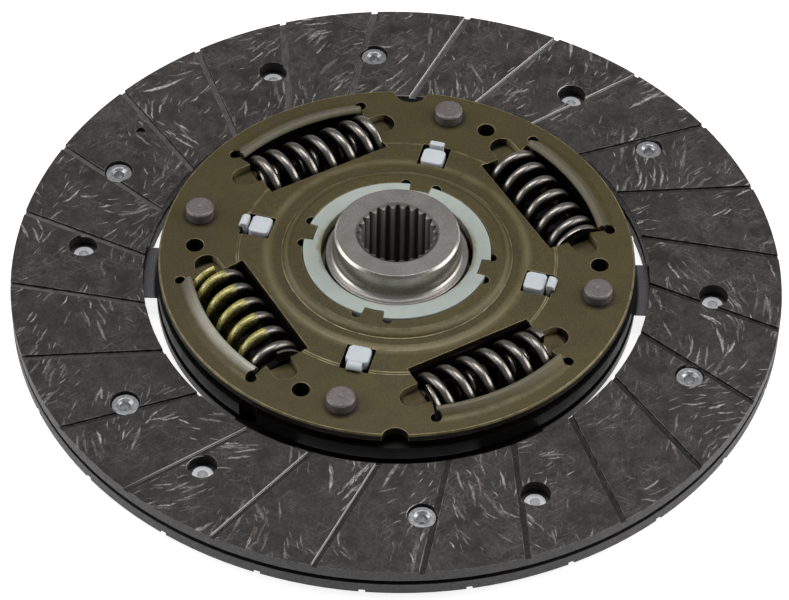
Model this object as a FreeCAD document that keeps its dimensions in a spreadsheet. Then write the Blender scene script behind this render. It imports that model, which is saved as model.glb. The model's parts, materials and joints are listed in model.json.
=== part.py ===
import FreeCAD, Part

import math
import os
from types import SimpleNamespace

import Sketcher

Vector = FreeCAD.Vector
Rotation = FreeCAD.Rotation

# Driving dimensions
# Millimetres and degrees. Angles are azimuths seen from the front, from +X towards +Y.
# The origin is on the disc's axis, midway between the two friction faces, +Z to the front.
DIMENSIONS = {
    # friction linings
    "lining_outer_radius": 114.0,
    "lining_inner_radius": 75.0,
    "lining_thickness": 3.7,
    "lining_spacing": 1.54,
    "groove_count": 24,
    "groove_angle": 5.06,
    "groove_offset": 28.0,
    "groove_width": 1.8,
    "groove_depth": 0.9,
    "wear_mark_radius": 98.0,
    "wear_mark_angle": 144.3,
    "wear_mark_hole_radius": 1.4,
    "wear_mark_depth": 1.6,
    # lining rivets
    "rivets_per_side": 6,
    "rivet_circle_radius": 93.8,
    "front_rivet_angle": 35.1,
    "rear_rivet_angle": 55.2,
    "rivet_head_radius": 3.9,
    "rivet_head_height": 1.0,
    "rivet_head_recess": 1.1,
    "rivet_shank_radius": 2.45,
    "rivet_hollow_radius": 1.5,
    "rivet_mouth_radius": 2.5,
    "rivet_mouth_depth": 0.7,
    "rivet_tail_radius": 3.0,
    "rivet_tail_height": 0.7,
    "rivet_seat_clearance": 0.4,
    "rivet_shank_clearance": 0.1,
    # cushion plate
    "cushion_thickness": 0.7,
    "cushion_ring_inner_radius": 52.0,
    "cushion_ring_outer_radius": 71.2,
    "cushion_window_angle": 49.0,
    "paddle_inner_radius": 77.5,
    "paddle_outer_radius": 111.5,
    "paddle_angle": 53.0,
    "arm_angle": 58.65,
    "arm_width": 20.0,
    "wave_flat": 19.0,
    "wave_flank": 4.5,
    "wave_inner_radius": 82.0,
    "wave_outer_radius": 107.0,
    "wave_slit": 0.8,
    # cover plates
    "cover_thickness": 2.5,
    "cover_spacing": 9.29,
    "front_cover_radius": 70.3,
    "rear_cover_radius": 71.2,
    "outer_step_radius": 47.0,
    "outer_step_rise": 0.35,
    "middle_step_radius": 37.6,
    "middle_step_rise": 0.35,
    "rim_step_radius": 33.3,
    "rim_step_rise": 1.05,
    "shoulder_rise": 0.35,
    "outer_step_width": 0.6,
    "middle_step_width": 2.2,
    "rim_step_width": 1.4,
    "shoulder_width": 1.4,
    "cover_edge_chamfer": 0.4,
    "front_bore_radius": 28.0,
    "rear_bore_radius": 24.2,
    "tab_count": 4,
    "tab_length": 2.7,
    "tab_angle": 13.0,
    "tab_relief_radius": 1.5,
    "tab_relief_angle": 9.6,
    "small_hole_radius": 2.65,
    "small_hole_circle_radius": 59.8,
    "small_hole_angle": 12.0,
    "top_notch_radius": 5.2,
    "top_notch_place": 70.5,
    "top_notch_angle": 87.2,
    "bottom_notch_radius": 3.9,
    "bottom_notch_place": 71.2,
    "bottom_notch_angle": 270.4,
    # spring windows and their lips
    "window_count": 4,
    "window_angle": 30.6,
    "window_inner_edge": 40.8,
    "window_side_edge": 57.5,
    "window_arch_radius": 65.3,
    "window_arch_angle": 39.8,
    "lobe_radius": 3.75,
    "lobe_reach": 3.9,
    "relief_hole_radius": 1.6,
    "relief_circle_radius": 64.3,
    "lip_angle": 39.0,
    "lip_run": 3.7,
    "lip_rise": 2.2,
    "lip_thickness": 2.0,
    # damper springs
    "spring_circle_radius": 50.6,
    "spring_radius": 9.0,
    "spring_wire_radius": 1.75,
    "spring_active_turns": 5,
    "spring_length": 39.6,
    "spring_seat_clearance": 0.1,
    "spring_1_start_angle": 150.0,
    "spring_2_start_angle": 174.0,
    "spring_3_start_angle": 90.0,
    "spring_4_start_angle": 90.0,
    "closed_turn_clearance": 0.1,
    "inner_spring_radius": 4.8,
    "inner_spring_wire_radius": 0.9,
    "inner_spring_active_turns": 8,
    "inner_spring_start_angle": 90.0,
    # stop pins
    "pin_angle": -14.4,
    "pin_circle_radius": 60.7,
    "pin_radius": 4.2,
    "pin_neck_radius": 3.3,
    "pin_head_height": 3.5,
    "pin_head_chamfer": 0.4,
    "pin_head_crown": 0.12,
    "pin_dimple_radius": 0.6,
    "pin_dimple_depth": 0.5,
    "pin_fit": 0.05,
    # hub flange
    "flange_thickness": 4.5,
    "flange_radius": 70.8,
    "flange_land_inner_radius": 48.8,
    "flange_land_outer_radius": 66.5,
    "flange_land_clearance": 0.15,
    "flange_window_inner_edge": 40.6,
    "flange_window_outer_edge": 60.9,
    "damper_travel": 8.0,
    "slot_clearance": 0.3,
    "flange_notch_radius": 3.2,
    "flange_notch_place": 71.4,
    "flange_notch_angle": 233.9,
    # idle teeth between hub and flange
    "idle_tooth_count": 6,
    "hub_tooth_root_radius": 22.6,
    "hub_tooth_tip_radius": 26.1,
    "hub_tooth_angle": 20.0,
    "idle_travel": 4.0,
    "idle_stop_clearance": 0.5,
    "tooth_clearance": 0.3,
    # idle springs
    "idle_spring_circle_radius": 23.4,
    "idle_spring_radius": 2.15,
    "idle_spring_wire_radius": 0.45,
    "idle_spring_active_turns": 5,
    "idle_spring_start_angle": 90.0,
    "idle_spring_length": 10.2,
    "idle_spring_clearance": 0.1,
    # hub
    "hub_length": 28.0,
    "hub_front": 20.67,
    "hub_radius": 18.5,
    "hub_step_radius": 21.2,
    "hub_step_height": 6.0,
    "hub_step_chamfer": 0.3,
    "hub_foot_fillet": 1.8,
    "hub_edge_chamfer": 0.8,
    "spline_count": 24,
    "spline_minor_radius": 10.55,
    "spline_major_radius": 11.75,
    "spline_space_width": 2.35,
    "spline_root_width": 0.5,
    "spline_mouth_radius": 12.35,
    "spline_mouth_depth": 0.95,
    # friction rings, clip cage and diaphragm springs
    "running_clearance": 0.1,
    "radial_clearance": 0.3,
    "front_ring_inner_radius": 22.4,
    "front_ring_base_radius": 30.6,
    "front_ring_base_height": 2.6,
    "front_ring_proud": 0.3,
    "front_ring_notch_clearance": 0.25,
    "rear_ring_base_radius": 30.6,
    "rear_ring_base_height": 2.6,
    "rear_ring_sleeve_height": 6.2,
    "cage_inner_radius": 31.2,
    "cage_outer_radius": 39.8,
    "cage_thickness": 1.1,
    "clip_count": 4,
    "clip_width": 6.8,
    "clip_window_width": 8.6,
    "clip_inner_radius": 38.8,
    "clip_corner": 0.9,
    "clip_slit_radius": 45.3,
    "clip_slit_width": 0.6,
    "clip_outer_radius": 47.0,
    "clip_hook_width": 4.4,
    "clip_nose": 1.2,
    "clip_hook_lead": 0.9,
    "clip_proud": 0.9,
    "clip_hook_proud": 1.9,
    "clip_window_clearance": 0.4,
    "diaphragm_thickness": 0.7,
    "diaphragm_inner_radius": 31.4,
    "diaphragm_outer_radius": 36.6,
    "idle_diaphragm_thickness": 0.4,
    "idle_diaphragm_inner_radius": 24.6,
    "idle_diaphragm_outer_radius": 30.2,
}


class Size:
    """A dimension with its number and the expression that ties it to the sheet."""

    def __init__(self, value, text):
        self.value = value
        self.text = text

    def __add__(self, other):
        other = as_size(other)
        return Size(self.value + other.value, f"({self.text} + {other.text})")

    def __sub__(self, other):
        other = as_size(other)
        return Size(self.value - other.value, f"({self.text} - {other.text})")

    def __mul__(self, other):
        other = as_size(other)
        return Size(self.value * other.value, f"({self.text} * {other.text})")

    def __truediv__(self, other):
        other = as_size(other)
        return Size(self.value / other.value, f"({self.text} / {other.text})")

    def __radd__(self, other):
        return as_size(other) + self

    def __rsub__(self, other):
        return as_size(other) - self

    def __rmul__(self, other):
        return as_size(other) * self

    def __rtruediv__(self, other):
        return as_size(other) / self

    def __neg__(self):
        return as_size(0) - self


def as_size(thing):
    if isinstance(thing, Size):
        return thing
    return Size(thing, repr(thing))


def sine(angle):
    angle = as_size(angle)
    return Size(math.sin(math.radians(angle.value)), f"sin({angle.text} * 1deg)")


def cosine(angle):
    angle = as_size(angle)
    return Size(math.cos(math.radians(angle.value)), f"cos({angle.text} * 1deg)")


doc = FreeCAD.newDocument("ClutchDisc")
sheet = doc.addObject("Spreadsheet::Sheet", "Sizes")
for row, (alias, number) in enumerate(DIMENSIONS.items(), start=1):
    sheet.set(f"A{row}", alias)
    sheet.set(f"B{row}", str(number))
    sheet.setAlias(f"B{row}", alias)
doc.recompute()
size = SimpleNamespace(**{name: Size(number, f"Sizes.{name}") for name, number in DIMENSIONS.items()})


def bind(thing, path, value):
    """Tie one property of an object to the sheet."""
    if "Sizes." in value.text:
        thing.setExpression(path, value.text)


def origin_feature(body, role):
    for feature in body.Origin.OriginFeatures:
        if feature.Role == role:
            return feature
    raise ValueError(f"no origin feature {role}")


def new_body(label, height=0, flipped=False):
    """A body at a height on the axis; a flipped one faces the rear."""
    body = doc.addObject("PartDesign::Body", label)
    body.Label = label
    body.AllowCompound = True
    height = as_size(height)
    half_turn = 180 if flipped else 0
    body.Placement = FreeCAD.Placement(Vector(0, 0, height.value), Rotation(Vector(1, 0, 0), half_turn))
    bind(body, "Placement.Base.z", height)
    return body


def new_sketch(body, name, role="XY_Plane", lift=0, turn=0):
    """A sketch on an origin plane, lifted along its normal and turned about the axis."""
    lift = as_size(lift)
    turn = as_size(turn)
    sketch = body.newObject("Sketcher::SketchObject", name)
    sketch.AttachmentSupport = (origin_feature(body, role), [""])
    sketch.MapMode = "FlatFace"
    if role == "XY_Plane":
        sideways = as_size(0)
        outwards = lift
        axis = Vector(0, 0, 1)
    else:
        sideways = lift * sine(turn)
        outwards = lift * cosine(turn)
        axis = Vector(0, 1, 0)
    base = Vector(sideways.value, 0, outwards.value)
    sketch.AttachmentOffset = FreeCAD.Placement(base, Rotation(axis, turn.value))
    bind(sketch, "AttachmentOffset.Base.x", sideways)
    bind(sketch, "AttachmentOffset.Base.z", outwards)
    bind(sketch, "AttachmentOffset.Rotation.Angle", turn)
    return sketch


def place_point(sketch, geometry, point, x, y):
    """Hold one point of a sketch at x, y from the sketch's origin."""
    for kind, distance in (("DistanceX", x), ("DistanceY", y)):
        index = sketch.addConstraint(
            Sketcher.Constraint(kind, -1, 1, geometry, point, distance.value)
        )
        bind(sketch, f"Constraints[{index}]", distance)


def add_outline(sketch, points):
    """A closed outline of straight lines through points given as pairs of sizes."""
    corners = [(as_size(x), as_size(y)) for x, y in points]
    first = sketch.GeometryCount
    for number, (x, y) in enumerate(corners):
        next_x, next_y = corners[(number + 1) % len(corners)]
        start = Vector(x.value, y.value, 0)
        end = Vector(next_x.value, next_y.value, 0)
        sketch.addGeometry(Part.LineSegment(start, end), False)
    for number, (x, y) in enumerate(corners):
        following = first + (number + 1) % len(corners)
        sketch.addConstraint(Sketcher.Constraint("Coincident", first + number, 2, following, 1))
    for number, (x, y) in enumerate(corners):
        place_point(sketch, first + number, 1, x, y)


def add_rectangle(sketch, low_x, high_x, low_y, high_y):
    add_outline(sketch, [(low_x, low_y), (high_x, low_y), (high_x, high_y), (low_x, high_y)])


def add_circle(sketch, x, y, radius):
    x = as_size(x)
    y = as_size(y)
    radius = as_size(radius)
    circle = Part.Circle(Vector(x.value, y.value, 0), Vector(0, 0, 1), radius.value)
    geometry = sketch.addGeometry(circle, False)
    place_point(sketch, geometry, 3, x, y)
    index = sketch.addConstraint(Sketcher.Constraint("Radius", geometry, radius.value))
    bind(sketch, f"Constraints[{index}]", radius)


def set_length(feature, length):
    length = as_size(length)
    feature.Length = length.value
    bind(feature, "Length", length)


def pad(body, sketch, length):
    feature = body.newObject("PartDesign::Pad", sketch.Name + "Pad")
    feature.Profile = sketch
    set_length(feature, length)
    return feature


def pocket(body, sketch, depth=None):
    """Cut below the sketch to a depth, or both ways through everything."""
    feature = body.newObject("PartDesign::Pocket", sketch.Name + "Pocket")
    feature.Profile = sketch
    if depth is None:
        feature.Type = "ThroughAll"
        feature.Midplane = True
    else:
        set_length(feature, depth)
    return feature


def turned(body, sketch, kind, angle=360):
    """A revolution or a groove about the axis, centred on its sketch."""
    angle = as_size(angle)
    feature = body.newObject(f"PartDesign::{kind}", sketch.Name + kind)
    feature.Profile = sketch
    feature.ReferenceAxis = (sketch, ["V_Axis"])
    feature.Midplane = True
    feature.Angle = angle.value
    bind(feature, "Angle", angle)
    return feature


def repeat(body, features, count):
    """Copies of features about the axis."""
    count = as_size(count)
    pattern = body.newObject("PartDesign::PolarPattern", features[0].Name + "Pattern")
    pattern.Originals = features
    pattern.Axis = (origin_feature(body, "Z_Axis"), [""])
    pattern.Angle = 360
    pattern.Occurrences = int(count.value)
    bind(pattern, "Occurrences", count)
    body.Tip = pattern
    return pattern


# Heights along the axis
lining_back = size.lining_spacing / 2
rear_cover_inside = -lining_back
front_cover_inside = rear_cover_inside + size.cover_spacing
middle = rear_cover_inside + size.cover_spacing / 2
flange_front = middle + size.flange_thickness / 2
flange_rear = middle - size.flange_thickness / 2
rim_rise = size.outer_step_rise + size.middle_step_rise + size.rim_step_rise + size.shoulder_rise
# the damper springs lie in the middle of the flange's land
spring_height = (flange_rear + front_cover_inside - size.flange_land_clearance) / 2

# Shared radii and widths
rivet_seat_radius = size.rivet_head_radius + size.rivet_seat_clearance
rivet_hole_radius = size.rivet_shank_radius + size.rivet_shank_clearance
pin_hole_radius = size.pin_neck_radius + size.pin_fit
window_half = size.spring_length / 2 + size.spring_seat_clearance
lobe_place = window_half + size.lobe_reach
tab_tip_radius = size.front_bore_radius - size.tab_length
clip_radius = size.clip_outer_radius

# How far a cut runs past the face that it opens
OVERRUN = 2.0


def lining(label, flipped, seat_angle, open_angle, groove_turn, marked):
    """A friction lining, worked in its own frame with the friction face up."""
    body = new_body(label, -lining_back if flipped else lining_back, flipped)
    ring = new_sketch(body, label + "_ring")
    add_circle(ring, 0, 0, size.lining_outer_radius)
    add_circle(ring, 0, 0, size.lining_inner_radius)
    pad(body, ring, size.lining_thickness)

    seat = new_sketch(body, label + "_seat", lift=size.lining_thickness, turn=seat_angle)
    add_circle(seat, size.rivet_circle_radius, 0, rivet_seat_radius)
    repeat(body, [pocket(body, seat, size.rivet_head_recess + size.rivet_head_height)], size.rivets_per_side)

    hole = new_sketch(body, label + "_hole", turn=seat_angle)
    add_circle(hole, size.rivet_circle_radius, 0, rivet_hole_radius)
    repeat(body, [pocket(body, hole)], size.rivets_per_side)

    well = new_sketch(body, label + "_well", turn=open_angle)
    add_circle(well, size.rivet_circle_radius, 0, rivet_seat_radius)
    repeat(body, [pocket(body, well)], size.rivets_per_side)

    if marked:
        mark = new_sketch(body, label + "_mark", lift=size.lining_thickness, turn=size.wear_mark_angle)
        add_circle(mark, size.wear_mark_radius, 0, size.wear_mark_hole_radius)
        pocket(body, mark, size.wear_mark_depth)

    groove = new_sketch(body, label + "_groove", lift=size.lining_thickness, turn=groove_turn)
    half_width = size.groove_width / 2
    add_rectangle(
        groove,
        size.lining_inner_radius - size.groove_offset,
        size.lining_outer_radius + OVERRUN,
        size.groove_offset - half_width,
        size.groove_offset + half_width,
    )
    repeat(body, [pocket(body, groove, size.groove_depth)], size.groove_count)
    return body


def cushion_plate():
    """The waved steel segments that carry the linings, in one plate with their ring."""
    body = new_body("cushion_plate", -lining_back)
    thickness = size.cushion_thickness

    ring = new_sketch(body, "cushion_ring")
    add_circle(ring, 0, 0, size.cushion_ring_outer_radius)
    add_circle(ring, 0, 0, size.cushion_ring_inner_radius)
    pad(body, ring, thickness)

    middle_angle = (size.front_rivet_angle + size.rear_rivet_angle) / 2
    paddle = new_sketch(body, "cushion_paddle", "XZ_Plane", turn=middle_angle)
    add_rectangle(paddle, size.paddle_inner_radius, size.paddle_outer_radius, 0, thickness)
    repeat(body, [turned(body, paddle, "Revolution", size.paddle_angle)], size.rivets_per_side)

    arm = new_sketch(body, "cushion_arm", turn=size.arm_angle)
    add_rectangle(
        arm,
        size.cushion_ring_outer_radius - OVERRUN,
        size.paddle_inner_radius + OVERRUN,
        -size.arm_width / 2,
        size.arm_width / 2,
    )
    repeat(body, [pad(body, arm, thickness)], size.rivets_per_side)

    wave_half = size.wave_flat / 2 + size.wave_flank
    opening = new_sketch(body, "cushion_opening", turn=size.front_rivet_angle)
    add_rectangle(
        opening,
        size.wave_inner_radius - size.wave_slit,
        size.paddle_outer_radius + OVERRUN,
        -wave_half,
        wave_half,
    )
    repeat(body, [pocket(body, opening)], size.rivets_per_side)

    wave = new_sketch(
        body, "cushion_wave", "YZ_Plane", lift=size.wave_inner_radius, turn=size.front_rivet_angle
    )
    rise = size.lining_spacing - thickness
    flat_half = size.wave_flat / 2
    foot = wave_half + OVERRUN
    add_outline(
        wave,
        [
            (-foot, 0),
            (-wave_half, 0),
            (-flat_half, rise),
            (flat_half, rise),
            (wave_half, 0),
            (foot, 0),
            (foot, thickness),
            (wave_half, thickness),
            (flat_half, rise + thickness),
            (-flat_half, rise + thickness),
            (-wave_half, thickness),
            (-foot, thickness),
        ],
    )
    band = pad(body, wave, size.wave_outer_radius - size.wave_inner_radius)
    repeat(body, [band], size.rivets_per_side)

    for side, angle in (("front", size.front_rivet_angle), ("rear", size.rear_rivet_angle)):
        hole = new_sketch(body, f"cushion_{side}_hole", turn=angle)
        add_circle(hole, size.rivet_circle_radius, 0, rivet_hole_radius)
        repeat(body, [pocket(body, hole)], size.rivets_per_side)

    window = new_sketch(body, "cushion_window", "XZ_Plane", turn=size.window_angle)
    inner = size.cushion_ring_inner_radius - OVERRUN
    add_rectangle(window, inner, size.window_arch_radius, -OVERRUN, thickness + OVERRUN)
    repeat(body, [turned(body, window, "Groove", size.cushion_window_angle)], size.window_count)

    pin = new_sketch(body, "cushion_pin", turn=size.pin_angle)
    add_circle(pin, size.pin_circle_radius, 0, pin_hole_radius)
    repeat(body, [pocket(body, pin)], size.window_count)
    return body


def rivets(label, flipped, angle):
    """Tubular lining rivets, head in the friction face and flared behind the cushion plate."""
    body = new_body(label, 0, flipped)
    face = lining_back + size.lining_thickness
    head_top = face - size.rivet_head_recess
    head_bottom = head_top - size.rivet_head_height
    tail_top = lining_back - size.cushion_thickness
    tail_bottom = tail_top - size.rivet_tail_height
    profile = new_sketch(body, label + "_profile", "XZ_Plane")
    place = size.rivet_circle_radius
    add_outline(
        profile,
        [
            (place + size.rivet_hollow_radius, tail_bottom),
            (place + size.rivet_tail_radius, tail_bottom),
            (place + size.rivet_tail_radius, tail_top),
            (place + size.rivet_shank_radius, tail_top),
            (place + size.rivet_shank_radius, head_bottom),
            (place + size.rivet_head_radius, head_bottom),
            (place + size.rivet_head_radius, head_top),
            (place + size.rivet_mouth_radius, head_top),
            (place + size.rivet_hollow_radius, head_top - size.rivet_mouth_depth),
        ],
    )
    feature = body.newObject("PartDesign::Revolution", label + "_turned")
    feature.Profile = profile
    axis_line = profile.addGeometry(Part.LineSegment(Vector(place.value, 0, 0), Vector(place.value, 5, 0)), True)
    place_point(profile, axis_line, 1, place, as_size(0))
    place_point(profile, axis_line, 2, place, face)
    feature.ReferenceAxis = (profile, ["Axis0"])
    feature.Angle = 360
    repeat(body, [feature], size.rivets_per_side)
    seat_turn = Rotation(Vector(0, 0, 1), angle.value)
    body.Placement = FreeCAD.Placement(Vector(0, 0, 0), seat_turn.multiply(body.Placement.Rotation))
    return body


def cut_spring_windows(body, label, turn, depth):
    """Windows with a straight inner edge, a lobe at each end and an arch for the lip."""
    lobe_low = size.spring_circle_radius - size.lobe_radius
    lobe_high = size.spring_circle_radius + size.lobe_radius
    inner = size.window_inner_edge
    side = size.window_side_edge
    window = new_sketch(body, label + "_window", turn=turn)
    add_outline(
        window,
        [
            (inner, -window_half),
            (lobe_low, -window_half),
            (lobe_low, -lobe_place),
            (lobe_high, -lobe_place),
            (lobe_high, -window_half),
            (side, -window_half),
            (side, window_half),
            (lobe_high, window_half),
            (lobe_high, lobe_place),
            (lobe_low, lobe_place),
            (lobe_low, window_half),
            (inner, window_half),
        ],
    )
    repeat(body, [pocket(body, window)], size.window_count)

    lobes = new_sketch(body, label + "_lobes", turn=turn)
    add_circle(lobes, size.spring_circle_radius, -lobe_place, size.lobe_radius)
    add_circle(lobes, size.spring_circle_radius, lobe_place, size.lobe_radius)
    repeat(body, [pocket(body, lobes)], size.window_count)

    arch = new_sketch(body, label + "_arch", "XZ_Plane", turn=turn)
    add_rectangle(arch, side - OVERRUN, size.window_arch_radius, -OVERRUN, depth + OVERRUN)
    repeat(body, [turned(body, arch, "Groove", size.window_arch_angle)], size.window_count)


def add_spring_lips(body, label, turn):
    """Lips bent out of the plate over the springs, with relief holes at their ends."""
    thickness = size.cover_thickness
    root = size.window_arch_radius
    edge = root - size.lip_run
    slope = math.hypot(size.lip_run.value, size.lip_rise.value)
    across = size.lip_thickness * (size.lip_rise / slope)
    down = size.lip_thickness * (size.lip_run / slope)
    lip = new_sketch(body, label + "_lip", "XZ_Plane", turn=turn)
    add_outline(
        lip,
        [
            (root + size.relief_hole_radius / 2, 0),
            (root + size.relief_hole_radius / 2, thickness),
            (root, thickness),
            (edge, thickness + size.lip_rise),
            (edge - across, thickness + size.lip_rise - down),
            (root - across, thickness - down),
            (root - across / 2, 0),
        ],
    )
    repeat(body, [turned(body, lip, "Revolution", size.lip_angle)], size.window_count)

    relief = new_sketch(body, label + "_relief", turn=turn)
    reach = size.relief_circle_radius * cosine(size.window_arch_angle / 2)
    aside = size.relief_circle_radius * sine(size.window_arch_angle / 2)
    add_circle(relief, reach, -aside, size.relief_hole_radius)
    add_circle(relief, reach, aside, size.relief_hole_radius)
    repeat(body, [pocket(body, relief)], size.window_count)


def cut_holes(body, name, angle, place, radius, count=None):
    """One round hole, or that many of them evenly round the axis."""
    sketch = new_sketch(body, name, turn=angle)
    add_circle(sketch, place, 0, radius)
    feature = pocket(body, sketch)
    if count is not None:
        repeat(body, [feature], count)


def cut_small_holes(body, label):
    """Two pairs of small holes between the pins and the spring windows."""
    quarter = 360 / size.window_count
    for number, offset in enumerate((size.small_hole_angle, quarter - size.small_hole_angle), start=1):
        cut_holes(
            body, f"{label}_small_{number}", size.pin_angle + offset,
            size.small_hole_circle_radius, size.small_hole_radius, size.window_count / 2,
        )


def cover_plate(label, flipped, outer_radius, bore_radius):
    """A pressed cover plate, worked with its inner face down and its outer face up."""
    height = rear_cover_inside if flipped else front_cover_inside
    sense = -1 if flipped else 1
    body = new_body(label, height, flipped)
    thickness = size.cover_thickness
    outer_half = size.outer_step_width / 2
    middle_half = size.middle_step_width / 2
    rim_half = size.rim_step_width / 2
    first_rise = size.outer_step_rise
    second_rise = first_rise + size.middle_step_rise
    third_rise = second_rise + size.rim_step_rise
    shoulder = size.rim_step_radius - rim_half
    stepped = [
        (size.outer_step_radius + outer_half, 0),
        (size.outer_step_radius - outer_half, first_rise),
        (size.middle_step_radius + middle_half, first_rise),
        (size.middle_step_radius - middle_half, second_rise),
        (size.rim_step_radius + rim_half, second_rise),
        (shoulder, third_rise),
        (shoulder - size.shoulder_width, rim_rise),
        (bore_radius, rim_rise),
    ]
    outside = [(radius, thickness + rise) for radius, rise in reversed(stepped)]
    edge = [
        (outer_radius - size.cover_edge_chamfer, thickness),
        (outer_radius, thickness - size.cover_edge_chamfer),
    ]
    profile = new_sketch(body, label + "_profile", "XZ_Plane")
    add_outline(profile, [(outer_radius, 0)] + stepped + outside + edge)
    turned(body, profile, "Revolution")

    cut_spring_windows(body, label, sense * size.window_angle, thickness)
    add_spring_lips(body, label, sense * size.window_angle)
    cut_holes(
        body, label + "_pin", sense * size.pin_angle, size.pin_circle_radius, pin_hole_radius,
        size.window_count,
    )
    cut_holes(
        body, label + "_top_notch", sense * size.top_notch_angle, size.top_notch_place,
        size.top_notch_radius,
    )
    cut_holes(
        body, label + "_bottom_notch", sense * size.bottom_notch_angle, size.bottom_notch_place,
        size.bottom_notch_radius,
    )
    return body


def front_cover_plate():
    """The front cover, whose bore has tabs that hold the friction ring and clip windows."""
    label = "front_cover_plate"
    body = cover_plate(label, False, size.front_cover_radius, tab_tip_radius)
    cut_small_holes(body, label)

    tab_spacing = 360 / size.tab_count
    bore = new_sketch(body, label + "_bore", "XZ_Plane", turn=size.pin_angle + tab_spacing / 2)
    top = size.cover_thickness + rim_rise + OVERRUN
    add_rectangle(bore, tab_tip_radius - OVERRUN, size.front_bore_radius, 0, top)
    repeat(body, [turned(body, bore, "Groove", tab_spacing - size.tab_angle)], size.tab_count)

    relief = new_sketch(body, label + "_tab_relief", turn=size.pin_angle)
    reach = size.front_bore_radius * cosine(size.tab_relief_angle)
    aside = size.front_bore_radius * sine(size.tab_relief_angle)
    add_circle(relief, reach, -aside, size.tab_relief_radius)
    add_circle(relief, reach, aside, size.tab_relief_radius)
    repeat(body, [pocket(body, relief)], size.tab_count)

    clip = new_sketch(body, label + "_clip", turn=size.pin_angle)
    gap = size.clip_window_clearance
    add_rectangle(
        clip,
        size.clip_inner_radius - gap,
        clip_radius + gap,
        -size.clip_window_width / 2,
        size.clip_window_width / 2,
    )
    repeat(body, [pocket(body, clip)], size.clip_count)
    return body


def stop_pin(number):
    """A stop pin riveted through both covers, its shoulders against their inner faces."""
    label = f"stop_pin_{number}"
    angle = size.pin_angle + 90 * (number - 1)
    body = new_body(label)
    neck = size.pin_neck_radius
    front = front_cover_inside + size.cover_thickness
    rear = rear_cover_inside - size.cover_thickness
    shoulder_rear = rear_cover_inside + size.cushion_thickness
    front_top = front + size.pin_head_height
    rear_top = rear - size.pin_head_height
    rim = size.pin_radius - size.pin_head_chamfer
    crown_edge = rim - size.pin_head_chamfer
    crown = size.pin_head_crown
    profile = new_sketch(body, label + "_profile", "XZ_Plane")
    add_outline(
        profile,
        [
            (0, rear_top + size.pin_dimple_depth),
            (size.pin_dimple_radius, rear_top),
            (crown_edge, rear_top),
            (rim, rear_top + crown),
            (size.pin_radius, rear_top + crown + size.pin_head_chamfer),
            (size.pin_radius, rear),
            (neck, rear),
            (neck, shoulder_rear),
            (size.pin_radius, shoulder_rear),
            (size.pin_radius, front_cover_inside),
            (neck, front_cover_inside),
            (neck, front),
            (size.pin_radius, front),
            (size.pin_radius, front_top - crown - size.pin_head_chamfer),
            (rim, front_top - crown),
            (crown_edge, front_top),
            (size.pin_dimple_radius, front_top),
            (0, front_top - size.pin_dimple_depth),
        ],
    )
    turned(body, profile, "Revolution")
    place_on_circle(body, size.pin_circle_radius, angle, as_size(0))
    return body


def place_on_circle(thing, radius, angle, height):
    """Stand an object on a circle about the axis."""
    across = radius * cosine(angle)
    along = radius * sine(angle)
    thing.Placement = FreeCAD.Placement(
        Vector(across.value, along.value, height.value), thing.Placement.Rotation
    )
    bind(thing, "Placement.Base.x", across)
    bind(thing, "Placement.Base.y", along)
    bind(thing, "Placement.Base.z", height)


def hub_flange():
    """The flange between the covers, with a raised land, spring windows, pin slots and idle teeth."""
    label = "hub_flange"
    body = new_body(label, flange_rear)
    thickness = size.flange_thickness
    land_top = front_cover_inside - size.flange_land_clearance - flange_rear
    tip = size.hub_tooth_root_radius + size.tooth_clearance
    root = size.hub_tooth_tip_radius + size.tooth_clearance
    disc = new_sketch(body, label + "_disc")
    add_circle(disc, 0, 0, size.flange_radius)
    add_circle(disc, 0, 0, tip)
    pad(body, disc, thickness)
    land = new_sketch(body, label + "_land")
    add_circle(land, 0, 0, size.flange_land_outer_radius)
    add_circle(land, 0, 0, size.flange_land_inner_radius)
    pad(body, land, land_top)

    window = new_sketch(body, label + "_window", turn=size.window_angle)
    add_rectangle(
        window,
        size.flange_window_inner_edge,
        size.flange_window_outer_edge,
        -window_half,
        window_half,
    )
    repeat(body, [pocket(body, window)], size.window_count)

    slot = new_sketch(body, label + "_slot", "XZ_Plane", turn=size.pin_angle)
    half_width = size.pin_radius + size.slot_clearance
    add_rectangle(
        slot,
        size.pin_circle_radius - half_width,
        size.pin_circle_radius + half_width,
        -OVERRUN,
        land_top + OVERRUN,
    )
    repeat(body, [turned(body, slot, "Groove", 2 * size.damper_travel)], size.window_count)

    ends = new_sketch(body, label + "_slot_ends", turn=size.pin_angle)
    reach = size.pin_circle_radius * cosine(size.damper_travel)
    aside = size.pin_circle_radius * sine(size.damper_travel)
    add_circle(ends, reach, -aside, half_width)
    add_circle(ends, reach, aside, half_width)
    repeat(body, [pocket(body, ends)], size.window_count)

    space = new_sketch(body, label + "_space", "XZ_Plane", turn=size.pin_angle)
    add_rectangle(space, tip - OVERRUN, root, -OVERRUN, thickness + OVERRUN)
    space_angle = size.hub_tooth_angle + 2 * (size.idle_travel + size.idle_stop_clearance)
    repeat(body, [turned(body, space, "Groove", space_angle)], size.idle_tooth_count)

    cut_idle_pockets(body, label)
    cut_small_holes(body, label)
    cut_holes(
        body, label + "_notch", size.flange_notch_angle, size.flange_notch_place,
        size.flange_notch_radius,
    )
    return body


def idle_pocket_angle():
    """The idle springs sit midway between two hub teeth."""
    return size.pin_angle + 180 / size.idle_tooth_count


def cut_idle_pockets(body, label):
    """Pockets for the two idle springs, shared by the hub and its flange."""
    idle = new_sketch(body, label + "_idle", turn=idle_pocket_angle())
    room = size.idle_spring_radius + size.idle_spring_clearance
    half = size.idle_spring_length / 2 + size.idle_spring_clearance
    add_rectangle(
        idle,
        size.idle_spring_circle_radius - room,
        size.idle_spring_circle_radius + room,
        -half,
        half,
    )
    repeat(body, [pocket(body, idle)], 2)


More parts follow.
